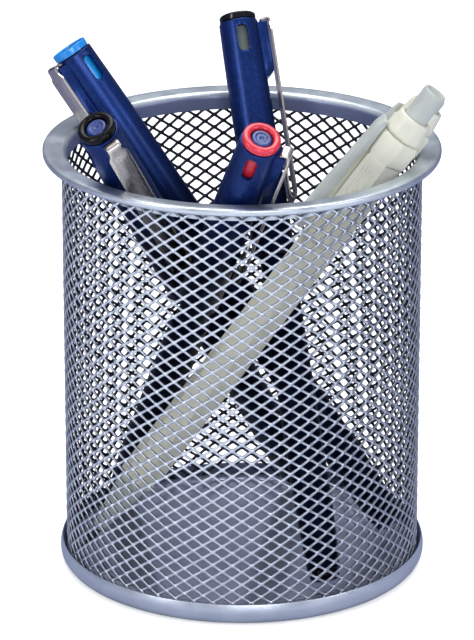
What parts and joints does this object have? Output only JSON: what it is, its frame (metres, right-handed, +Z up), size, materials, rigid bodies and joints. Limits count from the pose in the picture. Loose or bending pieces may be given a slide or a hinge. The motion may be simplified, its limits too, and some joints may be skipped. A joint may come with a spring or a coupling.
{
  "type": "stocked mesh pen cup",
  "caption": "Round wire-mesh cup with capped pens and push-button pencils that lift out; caps pull off, clips flex and buttons click.",
  "frame": {"origin": "centre of the cup's underside, on the table", "axes": "+Z up the cup's axis; -Y towards the side the picture shows; +X to the right seen from there"},
  "size_m": [0.0905, 0.0932, 0.1198],
  "materials": {
    "silver_paint": "satin silver-blue paint",
    "navy_plastic": "navy with fine metal flake",
    "cyan_plastic": "gloss",
    "black_plastic": "gloss",
    "grey_plastic": "gloss",
    "red_plastic": "gloss",
    "clip_steel": "bright nickel",
    "bright_steel": "polished",
    "grip_plastic": "matt",
    "cream_plastic": "satin",
    "pale_grey_plastic": "satin"
  },
  "bodies": {
    "cup": {"cup_mesh_wall": "silver_paint", "cup_rim": "silver_paint", "cup_base_ring": "silver_paint", "cup_base_plate": "silver_paint"},
    "cyan_pen": {"cyan_pen_barrel": "navy_plastic", "cyan_pen_grip": "grip_plastic", "cyan_pen_nib": "bright_steel", "cyan_pen_tail_plug": "cyan_plastic"},
    "cyan_pen_cap_group": {"cyan_pen_cap": "navy_plastic", "cyan_pen_ring": "cyan_plastic", "cyan_pen_end_plug": "navy_plastic", "cyan_pen_window_insert": "cyan_plastic"},
    "cyan_pen_clip_group": {"cyan_pen_clip": "clip_steel"},
    "black_pen": {"black_pen_barrel": "navy_plastic", "black_pen_grip": "grip_plastic", "black_pen_nib": "bright_steel", "black_pen_tail_plug": "black_plastic"},
    "black_pen_cap_group": {"black_pen_cap": "navy_plastic", "black_pen_ring": "black_plastic", "black_pen_end_plug": "navy_plastic", "black_pen_window_insert": "black_plastic"},
    "black_pen_clip_group": {"black_pen_clip": "clip_steel"},
    "grey_pen": {"grey_pen_barrel": "navy_plastic", "grey_pen_grip": "grip_plastic", "grey_pen_nib": "bright_steel", "grey_pen_tail_plug": "grey_plastic"},
    "grey_pen_cap_group": {"grey_pen_cap": "navy_plastic", "grey_pen_ring": "grey_plastic", "grey_pen_end_plug": "navy_plastic", "grey_pen_window_insert": "grey_plastic"},
    "grey_pen_clip_group": {"grey_pen_clip": "clip_steel"},
    "red_pen": {"red_pen_barrel": "navy_plastic", "red_pen_grip": "grip_plastic", "red_pen_nib": "bright_steel", "red_pen_tail_plug": "red_plastic"},
    "red_pen_cap_group": {"red_pen_cap": "navy_plastic", "red_pen_ring": "red_plastic", "red_pen_end_plug": "navy_plastic", "red_pen_window_insert": "red_plastic"},
    "red_pen_clip_group": {"red_pen_clip": "clip_steel"},
    "front_pencil": {"front_pencil_barrel": "cream_plastic", "front_pencil_head": "cream_plastic", "front_pencil_collar": "cream_plastic", "front_pencil_cone": "pale_grey_plastic", "front_pencil_point": "bright_steel"},
    "front_pencil_button_group": {"front_pencil_button": "pale_grey_plastic"},
    "front_pencil_clip_group": {"front_pencil_clip": "pale_grey_plastic"},
    "rear_pencil": {"rear_pencil_barrel": "cream_plastic", "rear_pencil_head": "cream_plastic", "rear_pencil_collar": "cream_plastic", "rear_pencil_cone": "pale_grey_plastic", "rear_pencil_point": "bright_steel"},
    "rear_pencil_button_group": {"rear_pencil_button": "pale_grey_plastic"},
    "rear_pencil_clip_group": {"rear_pencil_clip": "pale_grey_plastic"}
  },
  "joints": [
    {"name": "cyan_pen_lift", "type": "slide", "parent": "cup", "child": "cyan_pen", "axis": [-0.5533, 0.1341, 0.8221], "range_m": [0, 0.12]},
    {"name": "cyan_pen_cap_pull", "type": "slide", "parent": "cyan_pen", "child": "cyan_pen_cap_group", "axis": [-0.5533, 0.1341, 0.8221], "range_m": [0, 0.045]},
    {"name": "cyan_pen_clip_flex", "type": "hinge", "parent": "cyan_pen_cap_group", "child": "cyan_pen_clip_group", "pos_m": [-0.04191, 0.01587, 0.11355], "axis": [-0.5241, 0.7111, -0.4687], "range_deg": [0, 1.6], "stiffness_Nm_per_rad": 0.5},
    {"name": "black_pen_lift", "type": "slide", "parent": "cup", "child": "black_pen", "axis": [-0.3366, -0.4792, 0.8106], "range_m": [0, 0.12]},
    {"name": "black_pen_cap_pull", "type": "slide", "parent": "black_pen", "child": "black_pen_cap_group", "axis": [-0.3366, -0.4792, 0.8106], "range_m": [0, 0.045]},
    {"name": "black_pen_clip_flex", "type": "hinge", "parent": "black_pen_cap_group", "child": "black_pen_clip_group", "pos_m": [-0.02881, -0.03446, 0.1116], "axis": [-0.7955, -0.3159, -0.5171], "range_deg": [0, 1.6], "stiffness_Nm_per_rad": 0.5},
    {"name": "grey_pen_lift", "type": "slide", "parent": "cup", "child": "grey_pen", "axis": [-0.1498, 0.5291, 0.8352], "range_m": [0, 0.12]},
    {"name": "grey_pen_cap_pull", "type": "slide", "parent": "grey_pen", "child": "grey_pen_cap_group", "axis": [-0.1498, 0.5291, 0.8352], "range_m": [0, 0.045]},
    {"name": "grey_pen_clip_flex", "type": "hinge", "parent": "grey_pen_cap_group", "child": "grey_pen_clip_group", "pos_m": [0.00402, 0.04189, 0.11636], "axis": [0.1117, -0.8303, 0.546], "range_deg": [0, 1.6], "stiffness_Nm_per_rad": 0.5},
    {"name": "red_pen_lift", "type": "slide", "parent": "cup", "child": "red_pen", "axis": [0.244, -0.5021, 0.8297], "range_m": [0, 0.12]},
    {"name": "red_pen_cap_pull", "type": "slide", "parent": "red_pen", "child": "red_pen_cap_group", "axis": [0.244, -0.5021, 0.8297], "range_m": [0, 0.045]},
    {"name": "red_pen_clip_flex", "type": "hinge", "parent": "red_pen_cap_group", "child": "red_pen_clip_group", "pos_m": [0.00857, -0.04403, 0.11301], "axis": [-0.275, -0.8562, -0.4373], "range_deg": [0, 1.6], "stiffness_Nm_per_rad": 0.5},
    {"name": "front_pencil_lift", "type": "slide", "parent": "cup", "child": "front_pencil", "axis": [0.5773, -0.0477, 0.8152], "range_m": [0, 0.12]},
    {"name": "front_pencil_click", "type": "slide", "parent": "front_pencil", "child": "front_pencil_button_group", "axis": [0.5773, -0.0477, 0.8152], "range_m": [-0.0045, 0], "stiffness_N_per_m": 300},
    {"name": "front_pencil_clip_flex", "type": "hinge", "parent": "front_pencil", "child": "front_pencil_clip_group", "pos_m": [0.02989, -0.01645, 0.10895], "axis": [-0.0383, 0.9956, 0.0854], "range_deg": [0, 1.6], "stiffness_Nm_per_rad": 1},
    {"name": "rear_pencil_lift", "type": "slide", "parent": "cup", "child": "rear_pencil", "axis": [0.5827, -0.016, 0.8125], "range_m": [0, 0.12]},
    {"name": "rear_pencil_click", "type": "slide", "parent": "rear_pencil", "child": "rear_pencil_button_group", "axis": [0.5827, -0.016, 0.8125], "range_m": [0, 0.0045]},
    {"name": "rear_pencil_clip_flex", "type": "hinge", "parent": "rear_pencil", "child": "rear_pencil_clip_group", "pos_m": [0.03493, -0.00028, 0.10673], "axis": [0.6788, 0.5594, -0.4758], "range_deg": [0, 1.6], "stiffness_Nm_per_rad": 1}
  ]
}
